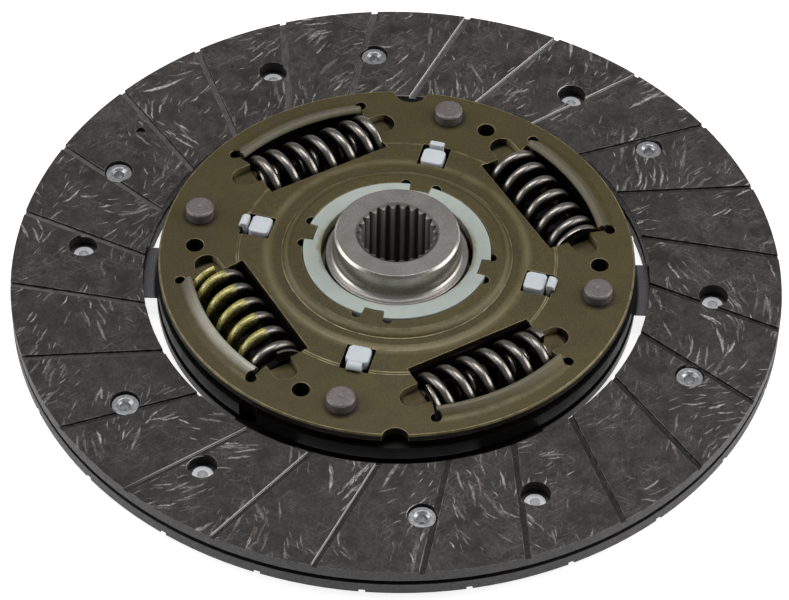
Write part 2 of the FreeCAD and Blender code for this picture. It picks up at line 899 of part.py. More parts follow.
FOOT_ANGLES = (270, 252, 234, 216, 198, 180)


def hub():
    """The splined hub with its idle teeth."""
    label = "hub"
    body = new_body(label, middle)
    half = size.flange_thickness / 2
    front = size.hub_front - middle
    rear = front - size.hub_length
    chamfer = size.hub_edge_chamfer
    mouth = size.spline_mouth_radius
    step_top = half + size.hub_step_height
    fillet = size.hub_foot_fillet
    foot = [
        (size.hub_radius + fillet + fillet * cosine(angle), step_top + fillet + fillet * sine(angle))
        for angle in FOOT_ANGLES
    ]
    profile = new_sketch(body, label + "_profile", "XZ_Plane")
    add_outline(
        profile,
        [
            (mouth, rear),
            (size.hub_radius - chamfer, rear),
            (size.hub_radius, rear + chamfer),
            (size.hub_radius, -half),
            (size.hub_tooth_root_radius, -half),
            (size.hub_tooth_root_radius, half),
            (size.hub_step_radius, half),
            (size.hub_step_radius, step_top - size.hub_step_chamfer),
            (size.hub_step_radius - size.hub_step_chamfer, step_top),
            *foot,
            (size.hub_radius, front - chamfer),
            (size.hub_radius - chamfer, front),
            (mouth, front),
            (size.spline_minor_radius, front - size.spline_mouth_depth),
            (size.spline_minor_radius, rear + size.spline_mouth_depth),
        ],
    )
    turned(body, profile, "Revolution")

    tooth = new_sketch(body, label + "_tooth", "XZ_Plane", turn=size.pin_angle)
    add_rectangle(
        tooth, size.hub_tooth_root_radius - OVERRUN, size.hub_tooth_tip_radius, -half, half
    )
    repeat(body, [turned(body, tooth, "Revolution", size.hub_tooth_angle)], size.idle_tooth_count)
    cut_idle_pockets(body, label)

    spline = new_sketch(body, label + "_spline")
    mouth_half = size.spline_space_width / 2
    root_half = size.spline_root_width / 2
    low = size.spline_minor_radius - OVERRUN / 4
    add_outline(
        spline,
        [
            (low, -mouth_half),
            (size.spline_minor_radius, -mouth_half),
            (size.spline_major_radius, -root_half),
            (size.spline_major_radius, root_half),
            (size.spline_minor_radius, mouth_half),
            (low, mouth_half),
        ],
    )
    repeat(body, [pocket(body, spline)], size.spline_count)
    return body


def front_friction_ring():
    """The plastic ring round the hub, notched for the tabs of the front cover."""
    label = "front_friction_ring"
    bottom = flange_front + size.running_clearance
    body = new_body(label, bottom)
    top = front_cover_inside + rim_rise + size.cover_thickness + size.front_ring_proud - bottom
    sleeve = size.front_bore_radius - size.radial_clearance
    profile = new_sketch(body, label + "_profile", "XZ_Plane")
    add_outline(
        profile,
        [
            (size.front_ring_inner_radius, 0),
            (size.front_ring_base_radius, 0),
            (size.front_ring_base_radius, size.front_ring_base_height),
            (sleeve, size.front_ring_base_height),
            (sleeve, top),
            (size.front_ring_inner_radius, top),
        ],
    )
    turned(body, profile, "Revolution")

    notch = new_sketch(body, label + "_notch", "XZ_Plane", turn=size.pin_angle)
    gap = size.front_ring_notch_clearance
    tab_bottom = front_cover_inside + rim_rise - bottom
    add_rectangle(notch, tab_tip_radius - gap, sleeve + OVERRUN, tab_bottom - gap, top + OVERRUN)
    repeat(body, [turned(body, notch, "Groove", size.tab_angle + 2 * gap)], 4)
    return body


def rear_friction_ring():
    """The plastic bearing ring that centres the hub in the rear cover."""
    label = "rear_friction_ring"
    body = new_body(label, flange_rear - size.running_clearance, True)
    inner = size.hub_radius + size.radial_clearance
    sleeve = size.rear_bore_radius - size.radial_clearance
    profile = new_sketch(body, label + "_profile", "XZ_Plane")
    add_outline(
        profile,
        [
            (inner, 0),
            (size.rear_ring_base_radius, 0),
            (size.rear_ring_base_radius, size.rear_ring_base_height),
            (sleeve, size.rear_ring_base_height),
            (sleeve, size.rear_ring_sleeve_height),
            (inner, size.rear_ring_sleeve_height),
        ],
    )
    turned(body, profile, "Revolution")
    return body


def clip_cage():
    """The plastic ring whose split clips snap into the front cover."""
    label = "clip_cage"
    bottom = flange_front + size.running_clearance
    body = new_body(label, bottom)
    thickness = size.cage_thickness
    cover_top = front_cover_inside + size.cover_thickness + size.outer_step_rise - bottom
    ring = new_sketch(body, label + "_ring")
    add_circle(ring, 0, 0, size.cage_outer_radius)
    add_circle(ring, 0, 0, size.cage_inner_radius)
    pad(body, ring, thickness)

    tongue = new_sketch(body, label + "_tongue", turn=size.pin_angle)
    add_rectangle(
        tongue, size.clip_inner_radius, clip_radius, -size.clip_width / 2, size.clip_width / 2
    )
    block = new_sketch(body, label + "_block", turn=size.pin_angle)
    slit_half = size.clip_slit_width / 2
    slit_inner = size.clip_slit_radius - slit_half
    half_width = size.clip_width / 2
    cut = size.clip_corner
    add_outline(
        block,
        [
            (size.clip_inner_radius + cut, -half_width),
            (slit_inner - cut, -half_width),
            (slit_inner, cut - half_width),
            (slit_inner, half_width - cut),
            (slit_inner - cut, half_width),
            (size.clip_inner_radius + cut, half_width),
            (size.clip_inner_radius, half_width - cut),
            (size.clip_inner_radius, cut - half_width),
        ],
    )
    hook = new_sketch(body, label + "_hook", "XZ_Plane", turn=size.pin_angle)
    slit_outer = size.clip_slit_radius + slit_half
    hook_foot = cover_top + size.running_clearance
    hook_top = cover_top + size.clip_hook_proud
    nose = clip_radius + size.clip_nose
    add_outline(
        hook,
        [
            (slit_outer, 0),
            (clip_radius, 0),
            (clip_radius, hook_foot),
            (nose, hook_foot),
            (nose, hook_top - size.clip_hook_lead),
            (nose - size.clip_hook_lead, hook_top),
            (slit_outer, hook_top),
        ],
    )
    hook_pad = pad(body, hook, size.clip_hook_width)
    hook_pad.Midplane = True
    repeat(
        body,
        [pad(body, tongue, thickness), pad(body, block, cover_top + size.clip_proud), hook_pad],
        size.clip_count,
    )
    return body


def diaphragm(label, height, flipped, inner, outer, rise, thickness):
    """A coned spring washer, low at its inner edge."""
    body = new_body(label, height, flipped)
    profile = new_sketch(body, label + "_profile", "XZ_Plane")
    add_outline(
        profile, [(inner, 0), (outer, rise), (outer, rise + thickness), (inner, thickness)]
    )
    turned(body, profile, "Revolution")
    return body


def diaphragm_springs():
    """The main and idle friction springs, each between its ring and its cover."""
    cage_top = flange_front + size.running_clearance + size.cage_thickness
    main_room = front_cover_inside + size.outer_step_rise + size.middle_step_rise - cage_top
    diaphragm(
        "diaphragm_spring",
        cage_top,
        False,
        size.diaphragm_inner_radius,
        size.diaphragm_outer_radius,
        main_room - size.diaphragm_thickness - size.running_clearance,
        size.diaphragm_thickness,
    )
    ring_bottom = flange_rear - size.running_clearance - size.rear_ring_base_height
    idle_room = ring_bottom - (rear_cover_inside - rim_rise)
    diaphragm(
        "idle_diaphragm_spring",
        ring_bottom,
        True,
        size.idle_diaphragm_inner_radius,
        size.idle_diaphragm_outer_radius,
        idle_room - size.idle_diaphragm_thickness - size.running_clearance,
        size.idle_diaphragm_thickness,
    )


def wire_run(label, coil_radius, wire_radius, pitch, turns, height, start_angle, left_handed):
    """Wire wound at one pitch, standing at a height on the coil's own axis."""
    helix = doc.addObject("Part::Helix", label + "_helix")
    helix.Radius = coil_radius.value
    helix.Pitch = pitch.value
    run = pitch * turns
    helix.Height = run.value
    helix.LocalCoord = 1 if left_handed else 0
    bind(helix, "Radius", coil_radius)
    bind(helix, "Pitch", pitch)
    bind(helix, "Height", run)
    wire = doc.addObject("Part::Circle", label + "_wire")
    wire.Radius = wire_radius.value
    wire.Placement = FreeCAD.Placement(Vector(coil_radius.value, 0, 0), Rotation(Vector(1, 0, 0), 90))
    bind(wire, "Radius", wire_radius)
    bind(wire, "Placement.Base.x", coil_radius)
    coil = doc.addObject("Part::Sweep", label)
    coil.Sections = [wire]
    coil.Spine = (helix, ["Edge1"])
    coil.Solid = True
    coil.Frenet = True
    coil.Placement = FreeCAD.Placement(
        Vector(0, 0, height.value), Rotation(Vector(0, 0, 1), start_angle.value)
    )
    bind(coil, "Placement.Base.z", height)
    bind(coil, "Placement.Rotation.Angle", start_angle)
    return coil


def coil_spring(label, outer_radius, wire_radius, active_turns, length, place, angle, height, start, left_handed):
    """A coil spring with one closed and ground turn at each end, lying along the tangent."""
    coil_radius = outer_radius - wire_radius
    closed_pitch = 2 * wire_radius + size.closed_turn_clearance
    active_pitch = (length - 2 * closed_pitch) / active_turns
    sense = -1 if left_handed else 1
    first_angle = as_size(-start)
    last_angle = first_angle + 360 * sense * active_turns
    closed_turns = as_size(1)
    runs = [
        ("first", closed_pitch, closed_turns, as_size(0), first_angle),
        ("active", active_pitch, active_turns, closed_pitch, first_angle),
        ("last", closed_pitch, closed_turns, length - closed_pitch, last_angle),
    ]
    coil = doc.addObject("Part::MultiFuse", label + "_coil")
    coil.Shapes = [
        wire_run(
            f"{label}_{name}", coil_radius, wire_radius, pitch, turns, low, start_angle, left_handed
        )
        for name, pitch, turns, low, start_angle in runs
    ]
    envelope = doc.addObject("Part::Cylinder", label + "_envelope")
    envelope.Radius = (outer_radius + OVERRUN).value
    envelope.Height = length.value
    bind(envelope, "Radius", outer_radius + OVERRUN)
    bind(envelope, "Height", length)
    spring = doc.addObject("Part::Common", label)
    spring.Base = coil
    spring.Tool = envelope
    spring.Label = label
    # the coil's own axis turns into the tangent, its middle onto the circle
    about_axis = Rotation(Vector(0, 0, 1), angle.value)
    spring.Placement.Rotation = about_axis.multiply(Rotation(Vector(1, 0, 0), -90))
    across = place * cosine(angle) + length / 2 * sine(angle)
    along = place * sine(angle) - length / 2 * cosine(angle)
    spring.Placement.Base = Vector(across.value, along.value, height.value)
    bind(spring, "Placement.Base.x", across)
    bind(spring, "Placement.Base.y", along)
    bind(spring, "Placement.Base.z", height)
    return spring


def springs():
    """Four damper springs, the two inner springs of one pair and the idle springs."""
    starts = [
        size.spring_1_start_angle,
        size.spring_2_start_angle,
        size.spring_3_start_angle,
        size.spring_4_start_angle,
    ]
    for index, start in enumerate(starts):
        coil_spring(
            f"damper_spring_{index + 1}",
            size.spring_radius,
            size.spring_wire_radius,
            size.spring_active_turns,
            size.spring_length,
            size.spring_circle_radius,
            size.window_angle + 90 * index,
            spring_height,
            start,
            False,
        )
    for number in (1, 2):
        coil_spring(
            f"inner_spring_{number}",
            size.inner_spring_radius,
            size.inner_spring_wire_radius,
            size.inner_spring_active_turns,
            size.spring_length,
            size.spring_circle_radius,
            size.window_angle - 90 + 180 * number,
            spring_height,
            size.inner_spring_start_angle,
            True,
        )
        coil_spring(
            f"idle_spring_{number}",
            size.idle_spring_radius,
            size.idle_spring_wire_radius,
            size.idle_spring_active_turns,
            size.idle_spring_length,
            size.idle_spring_circle_radius,
            idle_pocket_angle() + 180 * (number - 1),
            middle,
            size.idle_spring_start_angle,
            False,
        )


lining("front_lining", False, size.front_rivet_angle, size.rear_rivet_angle, size.groove_angle, True)
lining(
    "rear_lining",
    True,
    -size.rear_rivet_angle,
    -size.front_rivet_angle,
    size.groove_angle - size.front_rivet_angle - size.rear_rivet_angle,
    False,
)
cushion_plate()
rivets("front_lining_rivets", False, size.front_rivet_angle)
rivets("rear_lining_rivets", True, size.rear_rivet_angle)
front_cover_plate()
cover_plate("rear_cover_plate", True, size.rear_cover_radius, size.rear_bore_radius)
for pin_number in range(1, 5):
    stop_pin(pin_number)
hub_flange()
hub()
front_friction_ring()
rear_friction_ring()
clip_cage()
diaphragm_springs()
springs()

doc.recompute()

NODES = [
    "front_lining", "rear_lining", "cushion_plate", "front_lining_rivets", "rear_lining_rivets",
    "front_cover_plate", "rear_cover_plate", "stop_pin_1", "stop_pin_2", "stop_pin_3", "stop_pin_4",
    "hub_flange", "hub", "front_friction_ring", "rear_friction_ring", "clip_cage",
    "diaphragm_spring", "idle_diaphragm_spring", "damper_spring_1", "damper_spring_2",
    "damper_spring_3", "damper_spring_4", "inner_spring_1", "inner_spring_2", "idle_spring_1",
    "idle_spring_2",
]

for thing in doc.Objects:
    if "Invalid" in thing.State or "Error" in thing.State:
        raise RuntimeError(f"{thing.Name} failed: {thing.State}")

os.makedirs("parts", exist_ok=True)
shapes = {}
for node in NODES:
    shape = doc.getObjectsByLabel(node)[0].Shape
    if shape.isNull() or not shape.isValid():
        raise RuntimeError(f"{node} has no valid shape")
    shapes[node] = shape
for node, shape in shapes.items():
    shape.exportStep(f"parts/{node}.step")
    print(f"{node}: {len(shape.Solids)} solids, {shape.Volume:.1f} mm3")
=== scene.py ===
import json
import math

import bmesh
import bpy
from mathutils import Matrix, Vector


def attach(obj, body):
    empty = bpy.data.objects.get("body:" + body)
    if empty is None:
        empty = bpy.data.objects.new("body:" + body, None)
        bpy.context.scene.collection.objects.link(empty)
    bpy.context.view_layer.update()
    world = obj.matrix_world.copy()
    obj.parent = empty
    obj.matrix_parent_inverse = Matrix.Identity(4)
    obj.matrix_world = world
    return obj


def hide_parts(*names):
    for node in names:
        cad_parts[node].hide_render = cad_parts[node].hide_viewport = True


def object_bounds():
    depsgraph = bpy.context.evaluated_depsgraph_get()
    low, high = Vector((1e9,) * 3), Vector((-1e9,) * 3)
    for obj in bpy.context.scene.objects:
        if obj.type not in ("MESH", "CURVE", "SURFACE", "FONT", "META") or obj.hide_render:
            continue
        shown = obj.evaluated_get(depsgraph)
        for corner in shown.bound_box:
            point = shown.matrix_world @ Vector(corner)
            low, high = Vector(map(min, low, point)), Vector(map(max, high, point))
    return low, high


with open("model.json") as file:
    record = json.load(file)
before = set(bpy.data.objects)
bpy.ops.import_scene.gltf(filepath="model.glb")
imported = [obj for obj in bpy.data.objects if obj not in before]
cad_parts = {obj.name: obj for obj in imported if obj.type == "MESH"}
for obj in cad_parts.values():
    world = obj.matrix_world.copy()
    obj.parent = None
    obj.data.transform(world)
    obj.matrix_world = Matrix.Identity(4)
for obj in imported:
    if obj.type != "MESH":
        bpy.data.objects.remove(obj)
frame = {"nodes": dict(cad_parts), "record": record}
cad_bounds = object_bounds()

MM = 0.001
SLOTS = {row["node"]: row["material_slot"] for row in frame["record"]["subparts"]}
BODIES = {
    node: body
    for body, nodes in frame["record"]["behaviour"]["bodies"].items()
    for node in nodes
}

# the photograph's camera, in pixels, millimetres and radians
IMAGE_WIDTH = 789
FOCAL_PIXELS = 3356.578
SENSOR_WIDTH = 36.0
CAMERA_PLACE = Vector((-0.46, -684.7, 725.6)) * MM
CAMERA_ELEVATION = 0.8202
CAMERA_ROLL = 0.0190

# places on the disc: radii and heights in millimetres, angles in degrees from +X
LINING_RADIUS = 114.0
GROOVE_FLOOR = 3.57
CUSHION_RING_RADIUS = 71.2
WINDOW_ANGLE = 30.6
LOBES_OUT = (45.5, 56.5)
LOBES_ASIDE = (18.9, 26.0)
SPRING_CIRCLE = 50.6
DAMPER_MIDDLE = 3.875
PIN_ANGLE = -14.4
PIN_CIRCLE = 60.7
PIN_RADIUS = 4.2
FLANGE_LAND_TOP = 8.37
COVER_TOP = 11.02
LIP_ROOT_RADIUS = 65.3
LIP_EDGE_RADIUS = 61.6
LIP_RISE = 2.2
LIP_HALF_ANGLE = 19.6
LIP_BAND = (59, 67)
RING_RADIUS = 30.6
HUB_RADIUS = 18.5
HUB_MOUTH_RADIUS = 12.35
SPLINE_MAJOR = 11.75
SPLINE_MINOR = 10.55

# where light and shade are painted on the disc, in degrees from +X
GROOVE_LIT_SIDE = 127
LINING_SHADE = 215
COVER_SHADE = 205
LIP_HIGHLIGHT_SIDE = 235
LIT_GROOVE_WALLS = -41
LIT_GROOVES = 72

# edges that a dressed copy rounds or keeps sharp, and those that it dissolves, in degrees
FOLD_ANGLE = 30
FLAT_ANGLE = 0.6

# half the floor's side in metres, and where it turns from painted shade to white outside the damper
# in millimetres
FLOOR_HALF = 6.0
FLOOR_SHADE_RADIUS = 66.0
FLOOR_WHITE_RADIUS = 69.0


# camera

def make_camera():
    """The photograph's view: a long lens 47 degrees above the disc."""
    right = Vector((1, 0, 0))
    up = Vector((0, math.sin(CAMERA_ELEVATION), math.cos(CAMERA_ELEVATION)))
    back = Vector((0, -math.cos(CAMERA_ELEVATION), math.sin(CAMERA_ELEVATION)))
    across = math.cos(CAMERA_ROLL) * right + math.sin(CAMERA_ROLL) * up
    upward = -math.sin(CAMERA_ROLL) * right + math.cos(CAMERA_ROLL) * up
    turn = Matrix((across, upward, back)).transposed()
    data = bpy.data.cameras.new("camera")
    data.sensor_fit = "HORIZONTAL"
    data.sensor_width = SENSOR_WIDTH
    data.lens = FOCAL_PIXELS * SENSOR_WIDTH / IMAGE_WIDTH
    data.clip_start = 0.01
    data.clip_end = 20.0
    camera = bpy.data.objects.new("camera", data)
    bpy.context.scene.collection.objects.link(camera)
    camera.matrix_world = Matrix.Translation(CAMERA_PLACE) @ turn.to_4x4()
    bpy.context.scene.camera = camera


# materials from nodes

def colour(red, green, blue):
    """A linear colour from 8-bit values as a picture shows them."""
    return tuple(
        ((value / 255 + 0.055) / 1.055) ** 2.4 if value > 10 else value / 255 / 12.92
        for value in (red, green, blue)
    )


class Graph:
    """The nodes of one material, in millimetres of the shared frame."""

    def __init__(self, name):
        self.material = bpy.data.materials.new(name)
        self.material.use_nodes = True
        self.tree = self.material.node_tree
        self.shader = self.tree.nodes["Principled BSDF"]
        coordinates = self.add("ShaderNodeTexCoord")
        scaled = self.add("ShaderNodeVectorMath", operation="SCALE")
        self.link(coordinates.outputs["Object"], scaled.inputs[0])
        scaled.inputs["Scale"].default_value = 1 / MM
        self.place = scaled.outputs[0]
        self.normal = coordinates.outputs["Normal"]

    def add(self, kind, **settings):
        node = self.tree.nodes.new(kind)
        for name, value in settings.items():
            setattr(node, name, value)
        return node

    def link(self, source, target):
        self.tree.links.new(source, target)

    def feed(self, target, value):
        """A socket's value, from another socket or a constant."""
        if isinstance(value, bpy.types.NodeSocket):
            self.link(value, target)
        elif isinstance(value, tuple) and target.type == "RGBA":
            target.default_value = (*value, 1)
        else:
            target.default_value = value

    def set(self, **inputs):
        """Values of the shader's own sockets, named with underscores for spaces."""
        for name, value in inputs.items():
            self.feed(self.shader.inputs[name.replace("_", " ")], value)

    def colour_so_far(self):
        return self.shader.inputs["Base Color"].links[0].from_socket

    # sums

    def math(self, operation, *values):
        node = self.add("ShaderNodeMath", operation=operation)
        for socket, value in zip(node.inputs, values):
            self.feed(socket, value)
        return node.outputs[0]

    def times(self, product, *factors):
        for factor in factors:
            product = self.math("MULTIPLY", product, factor)
        return product

    def hypot(self, first, second):
        squares = self.times(first, first), self.times(second, second)
        return self.math("SQRT", self.math("ADD", *squares))

    def vector(self, operation, *values):
        node = self.add("ShaderNodeVectorMath", operation=operation)
        for socket, value in zip(node.inputs, values):
            self.feed(socket, value)
        return node.outputs["Value" if operation == "DOT_PRODUCT" else "Vector"]

    def parts(self, vector):
        node = self.add("ShaderNodeSeparateXYZ")
        self.link(vector, node.inputs[0])
        return node.outputs

    def joined(self, x, y=0.0):
        node = self.add("ShaderNodeCombineXYZ")
        self.feed(node.inputs[0], x)
        self.feed(node.inputs[1], y)
        return node.outputs[0]

    # masks and patterns

    def step(self, value, low, high, start=0.0, end=1.0):
        """A smooth change from start to end while the value goes from low to high."""
        node = self.add("ShaderNodeMapRange", interpolation_type="SMOOTHSTEP")
        limits = {"Value": value, "From Min": low, "From Max": high, "To Min": start, "To Max": end}
        for name, number in limits.items():
            self.feed(node.inputs[name], number)
        return node.outputs["Result"]

    def within(self, value, low, high, blur):
        """1 between two limits, 0 outside them, with soft ends."""
        rise = self.step(value, low - blur, low + blur)
        return self.times(rise, self.step(value, high - blur, high + blur, 1.0, 0.0))

    def noise(self, size, detail, roughness=0.5, vector=None, *, seed):
        """Noise whose features are about so many millimetres wide."""
        node = self.add("ShaderNodeTexNoise", noise_dimensions="4D")
        self.feed(node.inputs["Vector"], self.place if vector is None else vector)
        node.inputs["W"].default_value = seed
        node.inputs["Scale"].default_value = 1 / size
        node.inputs["Detail"].default_value = detail
        node.inputs["Roughness"].default_value = roughness
        return node.outputs["Fac"]

    def warp(self, size, reach, seed):
        """The place, pushed about by up to a reach so that what is drawn there wavers."""
        push = self.noise(size, 2, 0.6, seed=seed).node.outputs["Color"]
        push = self.vector("MULTIPLY_ADD", push, (2 * reach, 2 * reach, 0), (-reach, -reach, 0))
        return self.vector("ADD", self.place, push)

    def mix(self, factor, first, second):
        node = self.add("ShaderNodeMix", data_type="RGBA")
        self.feed(node.inputs["Factor"], factor)
        self.feed(node.inputs[6], first)
        self.feed(node.inputs[7], second)
        return node.outputs[2]

    def stain(self, base, tone, mask, low, high, amount=1.0):
        """A base that turns to a tone, by up to an amount, while a mask goes from low to high."""
        return self.mix(self.step(mask, low, high, 0.0, amount), base, tone)

    def bump(self, height, distance, strength):
        node = self.add("ShaderNodeBump")
        node.inputs["Strength"].default_value = strength
        node.inputs["Distance"].default_value = distance * MM
        self.link(height, node.inputs["Height"])
        self.link(node.outputs[0], self.shader.inputs["Normal"])

    # places on the disc

    def radius(self):
        x, y, _ = self.parts(self.place)
        return self.hypot(x, y)

    def height(self):
        return self.parts(self.place)[2]

    def rise(self):
        """How far a face looks up, -1 to 1."""
        return self.parts(self.normal)[2]

    def flatness(self):
        """How squarely a face looks along the axis, 0 to 1."""
        return self.math("ABSOLUTE", self.rise())

    def worn_edge(self):
        """1 on the rounded edges of a dressed piece, 0 elsewhere."""
        return self.add("ShaderNodeAttribute", attribute_name="worn_edge").outputs["Fac"]

    def along(self, vector, azimuth):
        """A vector's part along a radial direction."""
        turn = math.radians(azimuth)
        return self.vector("DOT_PRODUCT", vector, (math.cos(turn), math.sin(turn), 0))

    def folded(self, azimuth):
        """How far a place lies out along the nearest of four arms at right angles, and aside."""
        sides = [self.math("ABSOLUTE", self.along(self.place, azimuth + turn)) for turn in (0, 90)]
        return self.math("MAXIMUM", *sides), self.math("MINIMUM", *sides)

    def from_pins(self):
        """The distance from the nearest stop pin's axis."""
        out, aside = self.folded(PIN_ANGLE)
        return self.hypot(self.math("SUBTRACT", out, PIN_CIRCLE), aside)

    def lobes(self):
        """1 round the rounded ends of the four spring windows."""
        out, aside = self.folded(WINDOW_ANGLE)
        return self.times(self.within(out, *LOBES_OUT, 0.5), self.within(aside, *LOBES_ASIDE, 0.4))


# cell, width, half length and row spacing in millimetres; share is the part of the cells with
# a fibre where fibres crowd, and rows is how many more lie on each side of one
FIBRE_LAYERS = (
    dict(cell=19.0, width=0.8, length=8.5, share=0.45, seed=71.9),
    dict(cell=14.0, width=0.66, length=6.2, share=0.5, seed=3.1),
    dict(cell=14.0, width=0.5, length=4.6, share=0.42, seed=19.7, rows=1, spacing=2.3),
    dict(cell=10.0, width=0.5, length=4.4, share=0.6, seed=11.7),
    dict(cell=8.0, width=0.42, length=3.4, share=0.65, seed=23.3),
    dict(cell=5.5, width=0.34, length=2.4, share=0.65, seed=37.9),
    dict(cell=3.8, width=0.26, length=1.6, share=0.6, seed=53.3),
)


def fibres(graph, place, cell, width, length, share, seed, rows=0, spacing=1.0):
    """Pale fibres, at most one or one bundle to each cell of a scattered pattern."""
    scatter = graph.vector("MULTIPLY_ADD", place, (1 / cell, 1 / cell, 0), (seed, -seed, 0))
    cells = graph.add("ShaderNodeTexVoronoi", voronoi_dimensions="2D")
    graph.link(scatter, cells.inputs["Vector"])
    cells.inputs["Scale"].default_value = 1
    centre = cells.outputs["Position"]
    x, y, _ = graph.parts(graph.vector("SUBTRACT", scatter, centre))
    turn, pick, bend = graph.parts(cells.outputs["Color"])
    spot = graph.vector("MULTIPLY_ADD", centre, (cell, cell, 0), (-seed * cell, seed * cell, 0))

    # lengths in cells, and the fibre's own axes, whose direction drifts over the lining
    width, length, spacing = width / cell, length / cell, spacing / cell
    drift = graph.times(graph.noise(42, 1, vector=spot, seed=9), 2.6 * math.pi)
    angle = graph.math("MULTIPLY_ADD", turn, 0.6, drift)
    cosine = graph.math("COSINE", angle)
    sine = graph.math("SINE", angle)
    along = graph.math("ADD", graph.times(x, cosine), graph.times(y, sine))
    aside = graph.math("SUBTRACT", graph.times(y, cosine), graph.times(x, sine))
    curve = graph.times(graph.math("MULTIPLY_ADD", bend, 0.5, -0.25), graph.times(along, along))
    aside = graph.math("ADD", aside, curve)

    # more rows beside it, each shifted along
    if rows:
        row = graph.math("ROUND", graph.math("DIVIDE", aside, spacing))
        row = graph.math("MAXIMUM", graph.math("MINIMUM", row, rows), -rows)
        aside = graph.math("SUBTRACT", aside, graph.times(row, spacing))
        stagger = graph.math("MULTIPLY_ADD", row, 2.3, graph.times(pick, 40))
        along = graph.math("MULTIPLY_ADD", graph.math("SINE", stagger), 0.55 * length, along)

    # its outline, and which cells show one how brightly
    reach = graph.math("ABSOLUTE", along)
    taper = graph.step(reach, 0.2 * length, length, width, 0.3 * width)
    across = graph.math("DIVIDE", graph.math("ABSOLUTE", aside), taper)
    body = graph.step(across, 0.15, 1.0, 1.0, 0.0)
    ends = graph.step(reach, 0.5 * length, length, 1.0, 0.0)
    crowd = graph.step(graph.noise(16, 2, vector=spot, seed=10), 0.42, 0.6, 0.1, 1.0)
    shown = graph.math("LESS_THAN", pick, graph.times(crowd, share))
    bright = graph.math("MULTIPLY_ADD", graph.math("POWER", bend, 2.5), 0.75, 0.25)
    return graph.times(body, ends, shown, bright)


def lining_compound(graph, patch, fine):
    """The lining's dark matter, mottled, with hairs in three directions, and painted shade to one
    side.
    """
    base = graph.mix(graph.step(patch, 0.36, 0.64), colour(35, 33, 31), colour(64, 61, 59))
    base = graph.stain(base, colour(66, 59, 54), graph.noise(28, 3, seed=1), 0.4, 0.7, 0.4)
    base = graph.stain(base, colour(30, 29, 28), fine, 0.38, 0.72, 0.7)
    for azimuth, seed in ((38, 16), (-27, 17), (85, 18)):
        lengthwise = graph.times(graph.along(graph.place, azimuth), 0.12)
        stretched = graph.joined(lengthwise, graph.along(graph.place, azimuth + 90))
        hair = graph.step(graph.noise(0.45, 3, 0.6, stretched, seed=seed), 0.54, 0.68)
        near = graph.step(graph.noise(9, 2, seed=seed + 4), 0.42, 0.6, 0.0, 0.6)
        base = graph.mix(graph.times(hair, near), base, colour(102, 98, 95))
    # painted shade: the lining darkens towards the front left
    shade = graph.along(graph.place, LINING_SHADE)
    return graph.stain(base, colour(20, 19, 18), shade, 30, 110, 0.24)


def groove_floor(graph, base):
    """The grooves' floors, with painted shade at the front right and painted light at the back
    left.
    """
    back_left = graph.along(graph.place, GROOVE_LIT_SIDE)
    # painted shade on the floors, strongest towards the front right
    rough = graph.step(back_left, -85, 10, 0.75, 0.3)
    rough = graph.times(rough, graph.step(graph.noise(1.4, 3, 0.7, seed=20), 0.3, 0.6, 0.45, 1.0))
    # painted light on the floors, pale towards the back left
    floor_light = graph.step(back_left, 0, 70, 0.0, 0.85)
    floor_light = graph.times(floor_light, graph.step(graph.noise(2.5, 3, 0.6, seed=8), 0.3, 0.65, 0.45, 1.0))
    floor = graph.mix(rough, base, colour(18, 14, 11))
    return graph.mix(floor_light, floor, colour(106, 104, 104))


